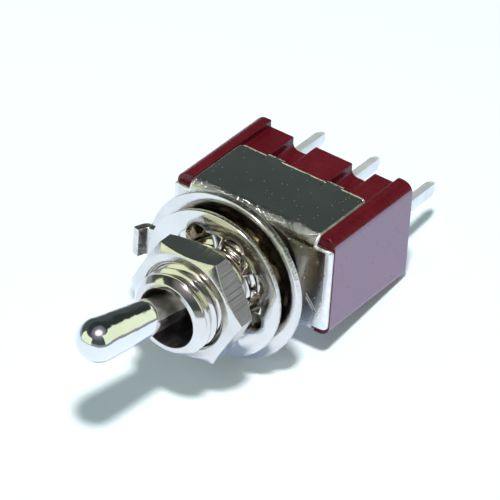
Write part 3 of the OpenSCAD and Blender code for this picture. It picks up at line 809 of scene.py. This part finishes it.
# coil spring in the lever's tail, built at one length, though the real one shortens as the plunger slides in
coil = {"radius": 0.49, "wire": 0.16, "wireSides": 10, "turns": 7, "turnSteps": 36, "low": -6.68,
        "length": 3.26, "travel": 0.4}
piece = addPrimitive("circle", "coilSpring", vertices=coil["wireSides"], radius=coil["wire"] / 2,
                     location=(coil["radius"], 0, coil["low"] + coil["wire"] / 2),
                     rotation=(math.pi / 2, 0, 0))
applyPlace(piece)
coilPitch = (coil["length"] - coil["wire"]) / coil["turns"]
modify(piece, "SCREW", axis="Z", angle=2 * math.pi, screw_offset=coilPitch, iterations=coil["turns"],
       steps=coil["turnSteps"], render_steps=coil["turnSteps"], use_merge_vertices=False)
selectIn(piece, "EDGE", lambda edge: edge.is_boundary)
bpy.ops.mesh.fill_holes(sides=0)
bpy.ops.mesh.select_mode(type="VERT")
mend(piece)
piece.matrix_world = leverPlace
layOver(piece)
dress(piece, innerSteel, "lever", "lever_spring")
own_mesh(piece)
print("stage: spring coiled")

# pieces inside the case keep their solids
for nodeName, finish in (("pivot_pin", innerSteel), ("plunger", plungerPlastic),
                         ("contact_rocker", rockerBrass), ("left_contact", contactSilver),
                         ("right_contact", contactSilver)):
    inner = frame["nodes"][nodeName]
    inner.data.materials.clear()
    inner.data.materials.append(finish)

# sheet of white paper at the slope the switch rests at, level further out
paper = {"restY": -2.97, "restZ": -6.25, "slope": 0.18, "nearY": 24, "farY": -46, "reach": 900,
         "bend": 12, "bendSteps": 12, "bendAngle": 2,
         "colour": (0.83, 0.90, 0.93), "lift": (0.07, 0.07, 0.07), "rough": 0.9, "specular": 0.1,
         "mirrorColour": (0.90, 0.93, 1.0), "mirrorLift": (0.08, 0.13, 0.27)}
bendsY = (paper["farY"], paper["nearY"])
farZ, nearZ = [paper["restZ"] + paper["slope"] * (y - paper["restY"]) for y in bendsY]
floor = addPrimitive("plane", "paperFloor", size=2 * paper["reach"])
for y in bendsY:
    sliceAt(floor, (0, y, 0), (0, 1, 0))
for vertex in floor.data.vertices:
    vertex.co.z = farZ if vertex.co.y < paper["farY"] + near else nearZ
easeEdges(floor, paper["bend"], paper["bendSteps"], paper["bendAngle"])
floor.scale = (mm, mm, mm)
applyPlace(floor)
bpy.ops.object.shade_smooth()
finish, tree, shader, place = startFinish("whitePaper", {
    "Roughness": paper["rough"], "Specular IOR Level": paper["specular"], "Emission Strength": 1})
rays = addNode(tree, "LightPath").outputs
# to the camera the paper is lifted evenly; where metal mirrors it, it glows bluish and is whiter, a painted
# reflection
mirrored = reckon(tree, "MAXIMUM", rays["Is Glossy Ray"], rays["Is Transmission Ray"])
lift = blend(tree, rays["Is Camera Ray"], (0.0, 0.0, 0.0), paper["lift"])
tree.links.new(blend(tree, mirrored, lift, paper["mirrorLift"]), shader.inputs["Emission Color"])
tree.links.new(blend(tree, mirrored, paper["colour"], paper["mirrorColour"]), shader.inputs["Base Color"])
floor.data.materials.append(finish)
print("stage: paper laid")

# light: a soft lamp overhead, and a dim room with two windows and a pale wall that the metal mirrors
lamp = {"towards": (0.18, -0.3, 0.94), "distance": 0.6, "size": 0.085, "power": 3.3,
        "colour": (0.98, 1.0, 1.0)}
towards = Vector(lamp["towards"]).normalized()
bpy.ops.object.light_add(type="AREA")
light = bpy.context.object
light.data.shape = "DISK"
light.data.size = lamp["size"]
light.data.energy = lamp["power"]
light.data.color = lamp["colour"]
light.location = towards * lamp["distance"]
light.rotation_euler = towards.to_track_quat("Z", "Y").to_euler()

room = {"fill": (0.21, 0.28, 0.285), "dark": (0.075, 0.097, 0.097),
        "ceiling": (0.035, 0.043, 0.043), "ceilingAt": (0.56, 0.78),
        "horizon": (0.36, 0.38, 0.42), "horizonAt": (0.26, 0.14),
        "glow": (0.30, 0.29, 0.35), "glowAt": (0.74, 0.95),
        "shine": (1.5, 1.45, 1.55), "shineAt": (0.93, 0.985), "pane": (1.08, 1.22, 0.88), "edge": 0.03}
panes = [{"X": (0.15, 1.1), "Y": (-0.35, 0.58), "Z": (0.17, 0.815)},
         {"X": (-0.9, 0.02), "Y": (-1.1, -0.3), "Z": (0.0, 0.58)},
         {"X": (-0.75, 0.1), "Y": (0.76, 1.1), "Z": (-0.1, 0.26)}]
world = bpy.data.worlds.new("room")
bpy.context.scene.world = world
world.use_nodes = True
tree = world.node_tree
outwards = addNode(tree, "TexCoord").outputs["Generated"]
heading = addNode(tree, "SeparateXYZ", {0: outwards}).outputs
nearLamp = addNode(tree, "VectorMath", {0: outwards, 1: towards}, operation="DOT_PRODUCT").outputs["Value"]
seen = room["dark"]
for measure, part in ((heading["Z"], "ceiling"), (heading["Z"], "horizon"), (nearLamp, "glow"),
                      (nearLamp, "shine")):
    seen = blend(tree, past(tree, measure, *room[part + "At"]), seen, room[part])
for pane in panes:
    lit = 1
    for axis, (low, high) in pane.items():
        lit = reckon(tree, "MULTIPLY", lit, past(tree, heading[axis], low, low + room["edge"]))
        lit = reckon(tree, "MULTIPLY", lit, past(tree, heading[axis], high, high - room["edge"]))
    seen = blend(tree, lit, seen, room["pane"])
rays = addNode(tree, "LightPath").outputs
shown = blend(tree, rays["Is Diffuse Ray"], seen, room["fill"])
shown = blend(tree, rays["Is Camera Ray"], shown, (1.0, 1.0, 1.0))
tree.links.new(shown, tree.nodes["Background"].inputs["Color"])
print("stage: lit")

# camera fitted to the photograph, almost without perspective
view = {"at": (0.15450, -0.23028, 0.19497), "right": (0.8063, 0.5888, 0.0570),
        "up": (-0.3767, 0.4368, 0.8168), "back": (0.4560, -0.6801, 0.5740), "lens": 360, "sensor": 36,
        "clipNear": 0.01, "clipFar": 10}
bpy.ops.object.camera_add()
camera = bpy.context.object
axes = [Vector(view[key]).normalized() for key in ("right", "up", "back")]
camera.matrix_world = Matrix.Translation(view["at"]) @ Matrix(axes).transposed().to_4x4()
camera.data.lens = view["lens"]
camera.data.sensor_width = view["sensor"]
camera.data.clip_start = view["clipNear"]
camera.data.clip_end = view["clipFar"]
bpy.context.scene.camera = camera
bpy.context.scene.view_settings.view_transform = "Standard"

print("stage: camera set")
